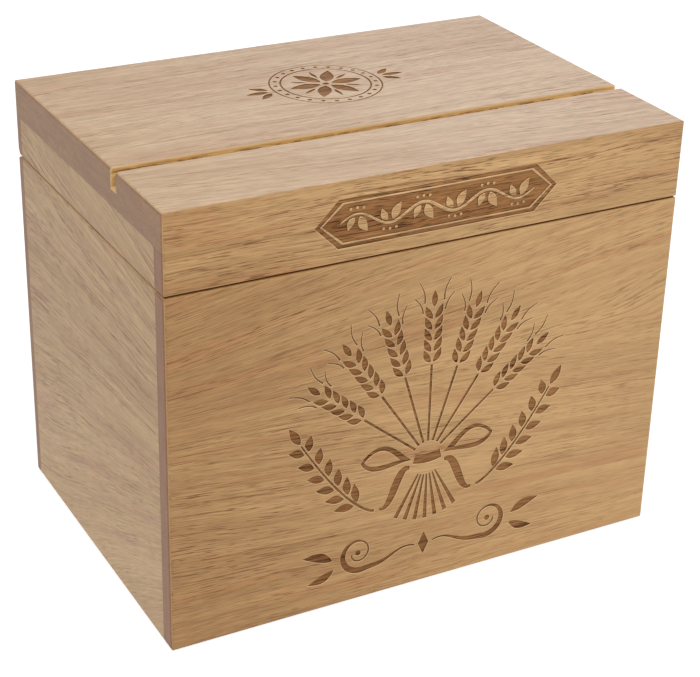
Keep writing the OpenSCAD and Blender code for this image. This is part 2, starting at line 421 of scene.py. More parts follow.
# each board's own grain, tones and strengths; colours are as the picture shows them
endTone = colour(136, 90, 58)
golden = {
    "Pale": colour(207, 166, 113),
    "Deep": colour(167, 127, 79),
    "Streak Colour": colour(108, 58, 8),
    "Flush Colour": colour(178, 124, 78),
    "End Colour": endTone,
}
boards = {
    "frontBoard": {
        "space": {
            "Seed": 3.0,
            "Tilt Low": -0.10,
            "Tilt High": 0.14,
            "Tilt From": 62.0,
            "Tilt To": 106.0,
            "Level Below": -10.0,
            "Wander": 2.4,
        },
        "wood": golden,
        # at the left end and at the right end: extra depth of tone, and strength of the marks; the darker
        # left end is partly the wood's own tone and partly painted shade
        "drift": {
            "Darkening": (0.46, 0.00),
            "Bands": (0.90, 0.62),
            "Streaks": (1.1, 0.65),
            "Pores": (1.05, 0.6),
            "Fibre": (1.0, 0.6),
        },
    },
    "railBoard": {
        "space": {"Seed": 6.0, "Wander": 3.0},
        "wood": {**golden, "Bands": 1.2},
        "drift": {
            "Darkening": (0.27, -0.30),
            "Streaks": (1.5, 0.95),
            "Pores": (1.2, 0.75),
            "Fibre": (1.0, 0.75),
        },
    },
    "lidBoard": {
        "space": {
            "Across": (0, 1, 0),
            "Through": (0, 0, 1),
            "Seed": 8.0,
            "Tilt Low": -0.08,
            "Tilt High": 0.02,
            "Tilt From": -45.0,
            "Tilt To": -12.0,
            "Wander": 4.0,
        },
        "wood": {**golden, "End Colour": colour(144, 103, 68), "Bands": 1.0},
        # its upward face, at the left end and at the right end: paler and pinker than the edges and paler
        # still to the right, a painted sheen of the light from above
        "up": {
            "Pale": (colour(220, 191, 156), colour(222, 194, 166)),
            "Deep": (colour(193, 157, 121), colour(194, 158, 129)),
            "Streak Colour": (colour(146, 102, 66), colour(150, 106, 76)),
            "Flush Colour": (colour(204, 162, 130), colour(208, 168, 144)),
            "Darkening": (0.06, -0.26),
            "Bands": (0.95, 0.95),
            "Streaks": (0.95, 0.95),
            "Pores": (0.8, 0.8),
        },
        "drift": {"Darkening": (0.06, -0.12), "Streaks": (1.3, 1.3), "Pores": (1.2, 1.2)},
    },
    "backBoard": {
        "space": {"Seed": 14.0, "Tilt Low": 0.06, "Tilt High": -0.05, "Wander": 4.0},
        "wood": {**golden, "Bands": 0.75, "Darkening": 0.15},
    },
    "sideBoard": {
        "space": {
            "Along": (0, 1, 0),
            "Across": (0, 0, 1),
            "Through": (1, 0, 0),
            "Seed": 5.0,
            "Fan": 0.0052,
            "Fan Centre": 92.0,
            "Wander": 4.0,
        },
        # low down and high up
        "rise": {"Darkening": (-0.22, 0.11), "Bands": (0.8, 1.0), "Streaks": (0.5, 1.0)},
        # paler and greyer than the front boards: a painted reflection of the white backdrop on the side
        "wood": {
            "Pale": colour(203, 168, 122),
            "Deep": colour(174, 138, 95),
            "Streak Colour": colour(112, 68, 36),
            "Flush Colour": colour(182, 138, 106),
            "End Colour": endTone,
            "Pores": 0.8,
            "Flush": 0.55,
        },
    },
    "bottomBoard": {
        "space": {"Across": (0, 1, 0), "Through": (0, 0, 1), "Seed": 21.0, "Wander": 7.0},
        "wood": {
            "Pale": colour(226, 198, 156),
            "Deep": colour(206, 174, 130),
            "Streak Colour": colour(172, 134, 92),
            "End Colour": colour(170, 138, 102),
            "Streaks": 0.5,
            "Pores": 0.35,
            "Flush": 0.0,
        },
    },
}

# what a laser leaves: the grain still shows, browner and with more contrast
burnt = {
    "Pale": colour(161, 114, 69),
    "Deep": colour(124, 80, 42),
    "Streak Colour": colour(66, 32, 6),
    "End Colour": colour(110, 72, 42),
    "Streaks": 1.5,
    "Pores": 1.3,
    "Fibre": 1.9,
    "Flush": 0.0,
}
# the faces of an engraved cut: its floor; its walls, burnt darker and with painted shade; and its softened
# lips, painted paler as a painted highlight
cutFinishes = {
    "Burnt": {"tones": burnt},
    "Wall": {"tones": burnt, "towards": colour(78, 42, 16), "share": 0.55},
    "Lip": {"towards": colour(250, 222, 176), "share": 0.22},
}

woodGloss = {
    "ior": 1.45,
    "burntSpecular": 0.15,  # burnt wood has no lacquer left on it
    "relief": {"Strength": 0.35, "Distance": 0.12 * mm},
}

# where the lid meets the box, a dark band is painted on the outside: painted shade of the gap between lid
# and box
seam = {
    "colour": (0.17, 0.05, 0.004, 1),
    "strength": 1.0,
    "band": (0.2 * mm, 0.55 * mm),  # at full strength up to here, and gone from here on
    "runsIn": (0.9 * mm, 1.5 * mm),  # how far it runs into the gap at the front
    "inTheGap": 0.1,  # what is left of it further in
    "level": (0.6, 0.95),  # how level a face of the gap is
    "sideways": (0.5, 0.9),
    "sparedFrom": (-60 * mm, 20 * mm),  # along the two sides, towards the hinges
    "spared": (0.4, 0.95),
}


# painted shade along the seam, in a band at its height
def paintedSeamShade(tree):
    where = put(tree, "TexCoord").outputs
    spot = apart(tree, where["Object"])
    facing = apart(tree, where["Normal"])
    away = positive(tree, minus(tree, spot["Z"], seamHeight))
    # on the front it runs a little way into the gap
    inside = minus(tree, spot["Y"], frontY)
    rim = ramp(tree, inside, *seam["runsIn"], seam["strength"], seam["inTheGap"])
    strength = ramp(tree, positive(tree, facing["Z"]), *seam["level"], seam["strength"], rim)
    # less so on the two sides, and hardly at all towards the hinges
    sideways = ramp(tree, positive(tree, facing["X"]), *seam["sideways"])
    spared = times(tree, sideways, ramp(tree, spot["Y"], *seam["sparedFrom"], *seam["spared"]))
    strength = times(tree, strength, minus(tree, 1.0, spared))
    return times(tree, ramp(tree, away, *seam["band"], 1.0, 0.0), strength)


# the arris between a long face and an end is painted a little paler, a painted highlight; the top board's
# front arris is a little darker, as is the wood just under it
arrises = {
    "pale": colour(214, 178, 128),
    "paleStrength": 1.6,
    "dark": colour(156, 112, 62),
    "darkStrength": 2.4,
    "lean": (-0.1, -0.4),  # how far the arris looks to the front
    "underLean": (-0.5, -0.9),
    "under": (0.5, 3.4, 0.4, 0.0),  # millimetres below the top, and the strengths there
}


# a painted highlight on the rounded arris beside an end face
def paintedArrisHighlight(tree, space):
    end = space["End Face"]
    return times(tree, minus(tree, 1.0, end), times(tree, end, arrises["paleStrength"]))


def darkArris(tree, space):
    where = put(tree, "TexCoord").outputs
    height = apart(tree, where["Object"])["Z"]
    lean = apart(tree, where["Normal"])["Y"]
    upward = times(tree, space["Up Face"], minus(tree, 1.0, space["Up Face"]))
    edge = times(tree, times(tree, upward, ramp(tree, lean, *arrises["lean"])), arrises["darkStrength"])
    fromTop = calc(tree, "DIVIDE", minus(tree, boxTop, height), mm)
    under = times(tree, ramp(tree, fromTop, *arrises["under"]), ramp(tree, lean, *arrises["underLean"]))
    return larger(tree, edge, under)


def newMaterial(name):
    material = bpy.data.materials.new(name)
    material.use_nodes = True
    tree = material.node_tree
    return material, tree, tree.nodes["Principled BSDF"]


def woodValues(tree, board, space, tones):
    # the board's own values, those of the tones, and those that change over the board
    values = {**board["wood"], **tones, "Grain": space["Grain"], "End Face": space["End Face"]}
    for way in ("drift", "rise"):
        for title, (first, last) in board.get(way, {}).items():
            if title not in tones:
                values[title] = between(tree, space[way.capitalize()], first, last)
    # the upward face is painted paler and pinker, and paler still to the right: a painted sheen of the light
    # from above
    if "up" in board and not tones:  # the upward face is paler and pinker than the edges
        for title, (first, last) in board["up"].items():
            if isinstance(first, float):
                upper = between(tree, space["Drift"], first, last)
                values[title] = mixed(tree, space["Up Face"], values[title], upper)
            else:
                upper = blend(tree, space["Drift"], first, last)
                values[title] = blend(tree, space["Up Face"], values[title], upper)
    return values


def woodMaterial(name, board, tones=None, towards=None, share=0.0):
    material, tree, shader = newMaterial(name)
    space = place(tree, boardSpace, board["space"])
    wood = place(tree, rubberwood, woodValues(tree, board, space, tones or {}))
    tone = wood["Color"]
    if towards:
        # on a cut's walls the darker colour is char and painted shade; on its lips it is a painted highlight
        tone = blend(tree, share, tone, towards)
    else:
        # painted shade of the gap along the seam between lid and box
        tone = blend(tree, paintedSeamShade(tree), tone, seam["colour"])
    if not (tones or towards):
        # a painted highlight along the arrises beside the end faces
        tone = blend(tree, paintedArrisHighlight(tree, space), tone, arrises["pale"])
        if "up" in board:
            tone = blend(tree, darkArris(tree, space), tone, arrises["dark"])
    feed(tree, shader.inputs["Base Color"], tone)
    feed(tree, shader.inputs["Roughness"], wood["Roughness"])
    bumped(tree, shader, wood["Height"], woodGloss["relief"])
    shader.inputs["IOR"].default_value = woodGloss["ior"]
    if tones:
        shader.inputs["Specular IOR Level"].default_value = woodGloss["burntSpecular"]
    return material


# the saw left the slot's walls golden, with scorched spots low down; the paler lips and foot are a painted
# highlight
# after a depth or a distance in millimetres come the strengths there
slotFinish = {
    "wood": {
        "Pale": colour(230, 188, 116),
        "Deep": colour(208, 162, 90),
        "Streak Colour": colour(156, 104, 44),
        "End Colour": colour(214, 168, 94),
        "Streaks": 0.5,
        "Pores": 0.5,
        "Flush": 0.0,
    },
    "scorch": {"cell": (5.0, 1.4), "noise": (3.0, 0.65), "shows": (0.42, 0.62)},
    "scorchColour": colour(144, 96, 46),
    "scorchStarts": (0.9, 1.9, 0.15, 1.0),
    "scorchFades": (2.6, 4.5, 1.0, 0.45),
    "lipColour": colour(238, 206, 158),
    "upperLip": (1.0, 0.35),
    "sideLip": (1.0, 0.3, 0.0, 0.55),
    "foot": (slotDepth - 0.9, slotDepth - 0.4, 0.0, 0.9),
    "roughness": 0.7,
    "relief": {"Strength": 0.6, "Distance": 0.2 * mm},
}


def slotMaterial(name, finish):
    material, tree, shader = newMaterial(name)
    space = place(tree, boardSpace, boards["lidBoard"]["space"])
    wood = place(tree, rubberwood, {**finish["wood"], "Grain": space["Grain"]})
    spots = shadeMark(tree, rawMark(tree, space["Grain"], finish["scorch"]), finish["scorch"])
    spot = apart(tree, put(tree, "TexCoord").outputs["Object"])
    below = calc(tree, "DIVIDE", minus(tree, boxTop, spot["Z"]), mm)
    starts = ramp(tree, below, *finish["scorchStarts"])
    lowDown = times(tree, starts, ramp(tree, below, *finish["scorchFades"]))
    scorched = blend(tree, times(tree, spots, lowDown), wood["Color"], finish["scorchColour"])
    fromSide = calc(tree, "DIVIDE", minus(tree, boxWidth / 2, positive(tree, spot["X"])), mm)
    # painted highlight on the slot's upper lip, its ends and its foot
    lipHighlight = larger(tree, ramp(tree, below, *finish["upperLip"]), ramp(tree, fromSide, *finish["sideLip"]))
    lipHighlight = larger(tree, lipHighlight, ramp(tree, below, *finish["foot"]))
    feed(tree, shader.inputs["Base Color"], blend(tree, lipHighlight, scorched, finish["lipColour"]))
    shader.inputs["Roughness"].default_value = finish["roughness"]
    bumped(tree, shader, wood["Height"], finish["relief"])
    return material


# brushed brass with a little tarnish
brassMarks = {
    "lines": {"cell": (9.0, 0.12), "noise": (2.0, 0.6), "shows": (0.35, 0.7), "share": 0.35},
    "tarnish": {"cell": (6.0, 4.0), "noise": (4.0, 0.6), "shows": (0.42, 0.68), "share": 0.3},
}
brassSurface = {"roughness": 0.3, "roughWorn": 0.2, "relief": {"Strength": 0.15, "Distance": 0.03 * mm}}
brasses = {
    "hingeBrass": {"Bright": colour(226, 203, 154), "Dull": colour(198, 170, 120), "Lines": 1.0},
    "pinBrass": {"Bright": colour(220, 194, 142), "Dull": colour(184, 154, 106), "Lines": 0.6},
    "screwBrass": {"Bright": colour(222, 196, 144), "Dull": colour(182, 150, 100), "Lines": 0.5},
}


def buildBrushed(marks, surface):
    tree, given, result = newGroup(
        "brushed",
        [
            ("Bright", "Color", colour(222, 188, 118)),
            ("Dull", "Color", colour(176, 138, 76)),
            ("Lines", "Float", 1.0),
        ],
        [("Color", "Color"), ("Roughness", "Float"), ("Height", "Float")],
    )
    point = scaled(tree, put(tree, "TexCoord").outputs["Object"], 1 / mm)
    lines = rawMark(tree, point, marks["lines"])
    streak = times(tree, shadeMark(tree, lines, marks["lines"]), given["Lines"])
    tarnish = shadeMark(tree, rawMark(tree, point, marks["tarnish"]), marks["tarnish"])
    tarnished = times(tree, tarnish, marks["tarnish"]["share"])
    worn = timesPlus(tree, streak, marks["lines"]["share"], tarnished, clamp=True)
    feed(tree, result["Color"], blend(tree, worn, given["Bright"], given["Dull"]))
    feed(tree, result["Roughness"], timesPlus(tree, worn, surface["roughWorn"], surface["roughness"]))
    feed(tree, result["Height"], lines)
    return tree


brushed = buildBrushed(brassMarks, brassSurface)


def brassMaterial(name, tones):
    material, tree, shader = newMaterial(name)
    metal = place(tree, brushed, tones)
    feed(tree, shader.inputs["Base Color"], metal["Color"])
    feed(tree, shader.inputs["Roughness"], metal["Roughness"])
    shader.inputs["Metallic"].default_value = 1.0
    bumped(tree, shader, metal["Height"], brassSurface["relief"])
    return material


materials = {name: woodMaterial(name, board) for name, board in boards.items()}
for name in ("frontBoard", "railBoard", "lidBoard"):
    for ending, finish in cutFinishes.items():
        materials[name + ending] = woodMaterial(name + ending, boards[name], **finish)
materials["slot"] = slotMaterial("slot", slotFinish)
for name, tones in brasses.items():
    materials[name] = brassMaterial(name, tones)
print("made", len(materials), "materials")

finishes = {
    "lid_board": "lidBoard",
    "front_board": "frontBoard",
    "back_board": "backBoard",
    "side_board": "sideBoard",
    "bottom_board": "bottomBoard",
    "hinge_brass": "hingeBrass",
    "pin_brass": "pinBrass",
    "screw_brass": "screwBrass",
}
ownFinish = {"lid_front": "railBoard"}  # this rail was cut from another board
for name, node in nodes.items():
    for materialSlot in node.material_slots:
        usual = finishes[materialSlot.material.name.split(".")[0]]
        materialSlot.material = materials[ownFinish.get(name, usual)]


# outlines for the engraving, as closed lists of points in millimetres
def leafOutline(base, tip, width, bend=0.0, steps=9, fat=0.85, blunt=1.0):
    base, tip = Vector(base), Vector(tip)
    side = Vector((-(tip - base).y, (tip - base).x)).normalized()

    def edge(t, sign):
        swell = max(0.0, math.sin(math.pi * t ** fat)) ** blunt * width / 2
        return base.lerp(tip, t) + side * (bend * math.sin(math.pi * t) + sign * swell)

    forth = [edge(i / steps, -1) for i in range(steps + 1)]
    back = [edge(i / steps, 1) for i in range(steps - 1, 0, -1)]
    return forth + back


def strokeOutline(points, widthAt):
    points = [Vector(p) for p in points]
    last = len(points) - 1
    left, right = [], []
    for i, point in enumerate(points):
        way = (points[min(i + 1, last)] - points[max(i - 1, 0)]).normalized()
        side = Vector((-way.y, way.x)) * widthAt(i / last) / 2
        left.append(point + side)
        right.append(point - side)
    return right + left[::-1]


def circleOutline(centre, radius, steps):
    turns = [2 * math.pi * i / steps for i in range(steps)]
    return [Vector((centre[0] + radius * math.cos(a), centre[1] + radius * math.sin(a))) for a in turns]


def mirrored(outline):
    return [Vector((-p.x, p.y)) for p in outline][::-1]


def turned(outline, degrees, centre=(0, 0)):
    middle = Vector(centre)
    turn = Matrix.Rotation(math.radians(degrees), 2)
    return [middle + turn @ (p - middle) for p in outline]


def moved(outline, x, y):
    return [p + Vector((x, y)) for p in outline]


def bothSides(shapes):
    # each shape is followed by its mirror image
    return [pair for shape in shapes for pair in (shape, [mirrored(p) for p in shape])]


def shifted(shapes, x, y):
    return [[moved(outline, x, y) for outline in shape] for shape in shapes]


def area(outline):
    return sum(a.x * b.y - b.x * a.y for a, b in zip(outline, outline[1:] + outline[:1])) / 2


def grown(outline, distance):
    # every point moves out from the solid by the distance, less at sharp tips
    result = []
    for i, point in enumerate(outline):
        before = (point - outline[i - 1]).normalized()
        after = (outline[(i + 1) % len(outline)] - point).normalized()
        out = Vector((before.y + after.y, -before.x - after.x))
        length = out.length
        out = out / length if length > 1e-6 else Vector((before.y, -before.x))
        result.append(point + out * distance / max(length / 2, 0.5))
    return result


engraving = {
    "depth": 0.35,  # of the burnt floor below the board's face
    "draft": 0.02,  # by which the floor is drawn in on every side
    "lipDepth": 0.14,  # of the softened rim
    "lipWidth": 0.22,
    "above": 0.6,  # how far the cutter stands over the face
    "cell": 0.0071,  # of the grid on the board's face, in metres
    "sharpAngle": 28,  # degrees
}


def cutterFrom(name, shapes, plane, board):
    # shapes: each a list of outlines, the outer one first and then its islands
    floorSlot, wallSlot, lipSlot = range(len(cutFinishes))
    levels = [
        (engraving["above"], engraving["lipWidth"]),
        (0.0, engraving["lipWidth"]),
        (-engraving["lipDepth"], 0.0),
        (-engraving["depth"], -engraving["draft"]),
    ]
    build = bmesh.new()
    for shape in shapes:
        wound = [p if (area(p) > 0) == (p is shape[0]) else p[::-1] for p in shape]
        rings = []
        for height, growth in levels:
            outlines = [grown(outline, growth) for outline in wound]
            rings.append([[build.verts.new((p.x, p.y, height)) for p in outline] for outline in outlines])
        for upper, lower, slot in zip(rings, rings[1:], (lipSlot, lipSlot, wallSlot)):
            for topVerts, lowVerts in zip(upper, lower):
                for i in range(len(topVerts)):
                    corners = (topVerts[i - 1], topVerts[i], lowVerts[i], lowVerts[i - 1])
                    build.faces.new(corners).material_index = slot
        for ring, slot in ((rings[0], lipSlot), (rings[-1], floorSlot)):
            edges = [build.edges.get((v[i - 1], v[i])) for v in ring for i in range(len(v))]
            filled = bmesh.ops.triangle_fill(build, edges=edges, use_beauty=True, use_dissolve=False)
            for face in filled["geom"]:
                if isinstance(face, bmesh.types.BMFace):
                    face.material_index = slot
    bmesh.ops.recalc_face_normals(build, faces=build.faces)
    mesh = bpy.data.meshes.new(name)
    build.to_mesh(mesh)
    build.free()
    mesh.transform(plane @ Matrix.Scale(mm, 4))
    for ending in cutFinishes:
        mesh.materials.append(materials[board + ending])
    cutter = bpy.data.objects.new(name, mesh)
    bpy.context.scene.collection.objects.link(cutter)
    return cutter


# the box's front and top as planes: x to the right, y up or back, z out of the face
frontPlane = Matrix(((1, 0, 0, 0), (0, 0, -1, frontY), (0, 1, 0, 0), (0, 0, 0, 1)))
topPlane = Matrix(((1, 0, 0, 0), (0, 1, 0, 0), (0, 0, 1, boxTop), (0, 0, 0, 1)))


# all sizes in millimetres from the tie, apart from the places of the tie, laurels and scrolls
sheaf = {
    "tie": (0.0, 49.0),
    "leans": (-51, -34, -17, 0, 17, 34, 51),
    "stemFrom": 6.0,
    "stemTo": 35.0,
    "stemWidth": 0.85,
    "stemGap": 0.9,  # between the stem and its ear
    "outerShorter": 0.06,  # for each degree of lean
    "grains": 5,
    "grainStep": 3.9,
    "grainLength": 4.9,
    "grainWidth": 2.2,
    "grainFoot": 0.5,  # to each side of the stem
    "grainTip": 3.2,
    "grainBend": 0.3,
    "endGrain": (0.2, 1.0),  # how far it is set off, and how much longer it is
    "awn": 7.5,
    "awnFoot": (3.6, 1.8),
    "awns": ((0.0, 2.2), (3.5, 3.2)),  # how far down each pair starts, and how far out it leans
    "awnIn": 0.14,
    "awnSway": 0.8,
    "awnWidth": 0.5,
    "awnTaper": 0.28,
    "strawGap": 0.6,
    "strawLength": 17.0,
    "strawWidth": 0.55,
    "strawFlare": 1.0,
    "strawSpread": 0.56,  # of the stems' leans
}


def wheatEar(start, s):
    # one ear that points up from (0, start)
    shapes = []
    for i in range(s["grains"]):
        foot = start + i * s["grainStep"]
        for side in (-1, 1):
            tip = (side * s["grainTip"], foot + s["grainLength"])
            root = (side * s["grainFoot"], foot)
            shapes.append(leafOutline(root, tip, s["grainWidth"], -side * s["grainBend"]))
    gap, longer = s["endGrain"]
    tipFoot = start + s["grains"] * s["grainStep"] + gap
    shapes.append(leafOutline((0, tipFoot), (0, tipFoot + s["grainLength"] + longer), s["grainWidth"]))
    awnOut, awnUp = s["awnFoot"]
    sway = [(t / 6, s["awnSway"] * math.sin(math.pi * t / 6)) for t in range(7)]
    for side in (-1, 1):
        for drop, out in s["awns"]:
            foot = Vector((side * awnOut, tipFoot + awnUp - drop)) + Vector((side * drop * s["awnIn"], 0))
            line = [foot + Vector((side * (out * t - bend), (s["awn"] - drop / 2) * t)) for t, bend in sway]
            shapes.append(strokeOutline(line, lambda t: s["awnWidth"] - s["awnTaper"] * t))
    return shapes


def wheatSheaf(s):
    shapes = []
    for lean in s["leans"]:
        reach = s["stemTo"] - abs(lean) * s["outerShorter"]
        length = reach - s["stemGap"] - s["stemFrom"]
        stalk = [Vector((0, s["stemFrom"] + length * t / 8)) for t in range(9)]
        parts = [strokeOutline(stalk, lambda t: s["stemWidth"])] + wheatEar(reach, s)
        straw = [Vector((0, -s["stemFrom"] - s["strawGap"] - s["strawLength"] * t / 8)) for t in range(9)]
        strawPart = strokeOutline(straw, lambda t: s["strawWidth"] + s["strawFlare"] * t)
        shapes += [[moved(turned(part, -lean), *s["tie"])] for part in parts]
        shapes.append([moved(turned(strawPart, lean * s["strawSpread"]), *s["tie"])])
    return shapes


ribbon = {
    "tie": sheaf["tie"],
    "bandHeight": 3.4,
    "bandSag": (-0.5, 0.03),  # below the tie, and how the ends curl up
    "loopFrom": (6.0, 0.2),
    "loopTo": (25.0, 3.6),
    "loopWidth": 9.0,
    "loopForm": {"bend": 1.4, "steps": 20, "fat": 1.5, "blunt": 0.75},
    "holeFrom": (10.2, 1.2),
    "holeTo": (23.7, 3.5),
    "holeWidth": 5.6,
    "holeForm": {"bend": 1.3, "steps": 18, "fat": 1.35, "blunt": 0.75},
    "tailFrom": (6.6, -2.6),
    "tailOut": 11.0,
    "tailDown": 13.0,
    "tailWave": 2.4,
    "tailWidth": (0.9, 2.1),
}


def bow(s):
    # a band round the straws, two open loops and two tails
    sag, curl = s["bandSag"]
    bend = [Vector((x, sag + curl * x * x)) for x in (-5, -3, -1, 1, 3, 5)]
    band = strokeOutline(bend, lambda t: s["bandHeight"])
    loop = leafOutline(s["loopFrom"], s["loopTo"], s["loopWidth"], **s["loopForm"])
    hole = leafOutline(s["holeFrom"], s["holeTo"], s["holeWidth"], **s["holeForm"])
    x, y = s["tailFrom"]
    tail = []
    for i in range(17):
        t = i / 16
        wave = s["tailWave"] * math.sin(2 * math.pi * t)
        tail.append(Vector((x + s["tailOut"] * t, y - s["tailDown"] * t + wave)))
    thin, swell = s["tailWidth"]
    hanging = strokeOutline(tail, lambda t: thin + swell * math.sin(math.pi * min(1.0, 0.15 + t * 0.8)) ** 2)
    return shifted([[band]] + bothSides([[loop, hole], [hanging]]), *s["tie"])


scrolls = {
    "centre": (25.0, 18.5),
    "radius": 7.0,
    "endRadius": 2.4,
    "startTurn": 262,  # degrees
    "sweep": 450,
    "tightening": 0.8,
    "steps": 44,
    "dot": 1.0,
    "runInFrom": 3.4,
    "runInWave": 1.7,
    "runInSteps": 18,
    "lineWidth": (0.5, 1.7),
    # foot and tip from the centre, width and bend
    "leaves": (((9.5, -0.5), (20.5, 3.2), 3.4, 0.9), ((9.0, -4.2), (18.5, -7.6), 3.0, -0.8)),
    "lozenge": (2.0, 4.4),  # half its width and half its height
    "lozengeDown": 3.0,
}


def scrollLine(s):
    # a spiral from the outside in
    x, y = s["centre"]
    points = []
    for i in range(s["steps"] + 1):
        t = i / s["steps"]
        radius = s["radius"] + (s["endRadius"] - s["radius"]) * t ** s["tightening"]
        angle = math.radians(s["startTurn"] + s["sweep"] * t)
        points.append(Vector((x + radius * math.cos(angle), y + radius * math.sin(angle))))
    return points


def flourish(s):
    # two mirrored scrolls under the sheaf, with a lozenge between them
    x, y = s["centre"]
    inward = scrollLine(s)
    start = Vector((s["runInFrom"], y - s["lozengeDown"]))
    runIn = []
    for i in range(s["runInSteps"]):
        t = i / s["runInSteps"]
        wave = Vector((0, s["runInWave"] * math.sin(2 * math.pi * t) * (1 - t)))
        runIn.append(start.lerp(inward[0], t) + wave)
    thin, swell = s["lineWidth"]
    line = strokeOutline(runIn + inward, lambda t: thin + swell * math.sin(math.pi * min(1.0, t * 1.5)) ** 2)
    parts = [line, circleOutline((x, y), s["dot"], 18)]
    for foot, tip, width, bend in s["leaves"]:
        parts.append(leafOutline((x + foot[0], y + foot[1]), (x + tip[0], y + tip[1]), width, bend, 12))
    wide, tall = s["lozenge"]
    middle = y - s["lozengeDown"]
    corners = ((0, middle + tall), (wide, middle), (0, middle - tall), (-wide, middle))
    return bothSides([[part] for part in parts]) + [[[Vector(corner) for corner in corners]]]


laurels = {
    "foot": (19.5, 33.5),
    "stem": (27, 31, 1.45),  # how far it runs out and up, and how much it curls
    "stemWidth": 1.0,
    "stemTaper": 0.5,
    "leafLean": 40,  # degrees
    "leafFoot": 1.5,
    "leafLength": 7.8,
    "leafShorter": 0.1,
    "leafWidth": 3.0,
    "leafBend": -0.3,
    "endLeaf": (0.8, 8.4),
}


def laurel(s):
    # two sprigs that lean outwards beside the sheaf
    foot = Vector(s["foot"])
    out, up, curl = s["stem"]
    stem = [foot + Vector((out * t, up * t ** curl)) for t in [i / 22 for i in range(23)]]
    parts = [strokeOutline(stem, lambda t: s["stemWidth"] - s["stemTaper"] * t)]
    for i in range(5, 22, 3):
        way = (stem[i + 1] - stem[i - 1]).normalized()
        for side in (-1, 1):
            lean = Matrix.Rotation(math.radians(side * s["leafLean"]), 2) @ way
            root = stem[i] + lean * s["leafFoot"]
            tip = root + lean * (s["leafLength"] - s["leafShorter"] * i)
            parts.append(leafOutline(root, tip, s["leafWidth"], side * s["leafBend"]))
    end = (stem[-1] - stem[-2]).normalized()
    first, last = s["endLeaf"]
    parts.append(leafOutline(stem[-1] + end * first, stem[-1] + end * last, s["leafWidth"]))
    return bothSides([[part] for part in parts])


vine = {
    "middle": (0.0, 138.2),
    "halfLength": 43.0,
    "halfHeight": 8.0,
    "point": 8.0,
    "slant": 0.41,  # how much more than the sides the slanted ends come in
    "frameIn": 1.2,
    "frameLine": 0.55,
    "wave": 2.4,
    "waves": 3,
    "stem": 1.0,
    "stemShort": 0.5,  # of where the points begin
    "steps": 96,
    # lean in degrees, length, width and distance from the stem
    "leaves": ((62, 6.0, 3.0, 0.9), (118, 4.6, 2.3, 0.95)),
    "leafApart": 0.9,
    "leafBend": 0.3,
    "berries": (-2.2, 0.0, 2.2),
    "berry": 0.5,
    "berryDown": 2.0,
    "berryRise": 0.1,
}


def pointedBand(half, tall, point):
    ends = [(-half, 0), (-half + point, -tall), (half - point, -tall), (half, 0), (half - point, tall)]
    return [Vector(p) for p in ends + [(-half + point, tall)]]


def vineBand(s):
    # a burnt band with pointed ends, in which a frame line and a vine stand proud
    half, tall, point = s["halfLength"], s["halfHeight"], s["point"]

    def inset(by):
        return pointedBand(half - by * (1 + s["slant"]), tall - by, point - by * s["slant"])

    run = half - point - s["stemShort"]

    def at(t):
        return Vector((-run + 2 * run * t, s["wave"] * math.sin(2 * math.pi * s["waves"] * t)))

    line = [at(i / s["steps"]) for i in range(s["steps"] + 1)]
    islands = [strokeOutline(line, lambda t: s["stem"] * (0.5 + 0.5 * math.sin(math.pi * t)))]
    count = 2 * s["waves"]
    for i in range(count):
        crest = at((i + 0.5) / count)
        inside = -1 if crest.y > 0 else 1
        for lean, length, width, step in s["leaves"]:
            way = Vector((math.cos(math.radians(lean)), inside * math.sin(math.radians(lean))))
            shift = s["leafApart"] if lean < 90 else -s["leafApart"]
            root = crest + Vector((shift, inside * step))
            islands.append(leafOutline(root, root + way * length, width, s["leafBend"] * inside))
        for shift in s["berries"]:
            down = s["berryDown"] - s["berryRise"] * abs(shift)
            berry = Vector((crest.x + shift, crest.y - inside * down))
            islands.append(circleOutline(berry, s["berry"], 12))
    edge = [inset(0), inset(s["frameIn"])]
    field = [inset(s["frameIn"] + s["frameLine"])] + islands
    return shifted([edge, field], *s["middle"])


rosette = {
    "middle": (2.0, 17.0),
    "heart": 1.1,
    "petals": 6,
    "petal": (2.0, 13.6),
    "petalWidth": 4.8,
    "smallPetal": (6.2, 12.8),
    "smallPetalWidth": 1.2,
    "rings": ((15.4, 0.6), (19.2, 0.5)),
    "beads": 24,
    "bead": 0.75,
    "sprayFrom": 21.5,
    "sprayLeans": (-38, 0, 38),
    "sprayLeaf": 8.4,
    "sprayShorter": 0.04,  # for each degree of lean
    "sprayTurn": 2.4,  # the leaves fan out from this far inside
    "sprayWidth": 2.6,
}


def rosetteShapes(s):
    # a compass flower in two rings, with a spray of leaves on each side
    def straightLeaf(ends, width):
        return leafOutline((ends[0], 0), (ends[1], 0), width)

    shapes = [[circleOutline((0, 0), s["heart"], 20)]]
    for i in range(s["petals"]):
        turn = 360 // s["petals"] * i
        halfTurn = turn + 180 // s["petals"]
        shapes.append([turned(straightLeaf(s["petal"], s["petalWidth"]), turn)])
        shapes.append([turned(straightLeaf(s["smallPetal"], s["smallPetalWidth"]), halfTurn)])
    for radius, width in s["rings"]:
        shapes.append([circleOutline((0, 0), radius + side * width / 2, 96) for side in (1, -1)])
    gap = (s["rings"][0][0] + s["rings"][1][0]) / 2
    for i in range(s["beads"]):
        shapes.append([turned(circleOutline((gap, 0), s["bead"], 14), 360 / s["beads"] * i)])
    for side in (-1, 1):
        for lean in s["sprayLeans"]:
            reach = s["sprayFrom"] + s["sprayLeaf"] - abs(lean) * s["sprayShorter"]
            leaf = straightLeaf((s["sprayFrom"], reach), s["sprayWidth"])
            leaf = turned(leaf, lean, (s["sprayFrom"] - s["sprayTurn"], 0))
            shapes.append([mirrored(leaf) if side < 0 else leaf])
    return shifted(shapes, *s["middle"])


